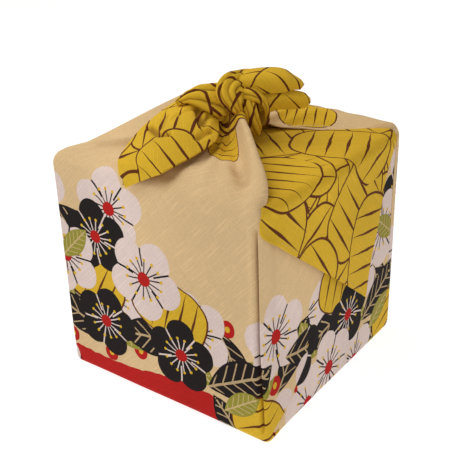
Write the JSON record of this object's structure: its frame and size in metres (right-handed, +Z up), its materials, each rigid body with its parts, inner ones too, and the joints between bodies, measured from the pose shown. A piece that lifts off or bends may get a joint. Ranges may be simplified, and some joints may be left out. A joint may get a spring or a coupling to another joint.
{
  "type": "furoshiki cloth wrapped and tied round a cube-shaped box",
  "caption": "Square cotton wrapping cloth folded round a cube, with a pointed flap down one side and its corners knotted on top in short tails.",
  "frame": {"origin": "middle of the wrap's base, on the surface that it stands on", "axes": "+Z up, -Y towards the wide plain front wall, +X towards the wall with the pointed flap"},
  "size_m": [0.1195, 0.1229, 0.1466],
  "materials": {
    "printed_cotton": "matt slub-weave cotton, printed"
  },
  "bodies": {
    "root": {"furoshiki": "printed_cotton"}
  },
  "joints": []
}
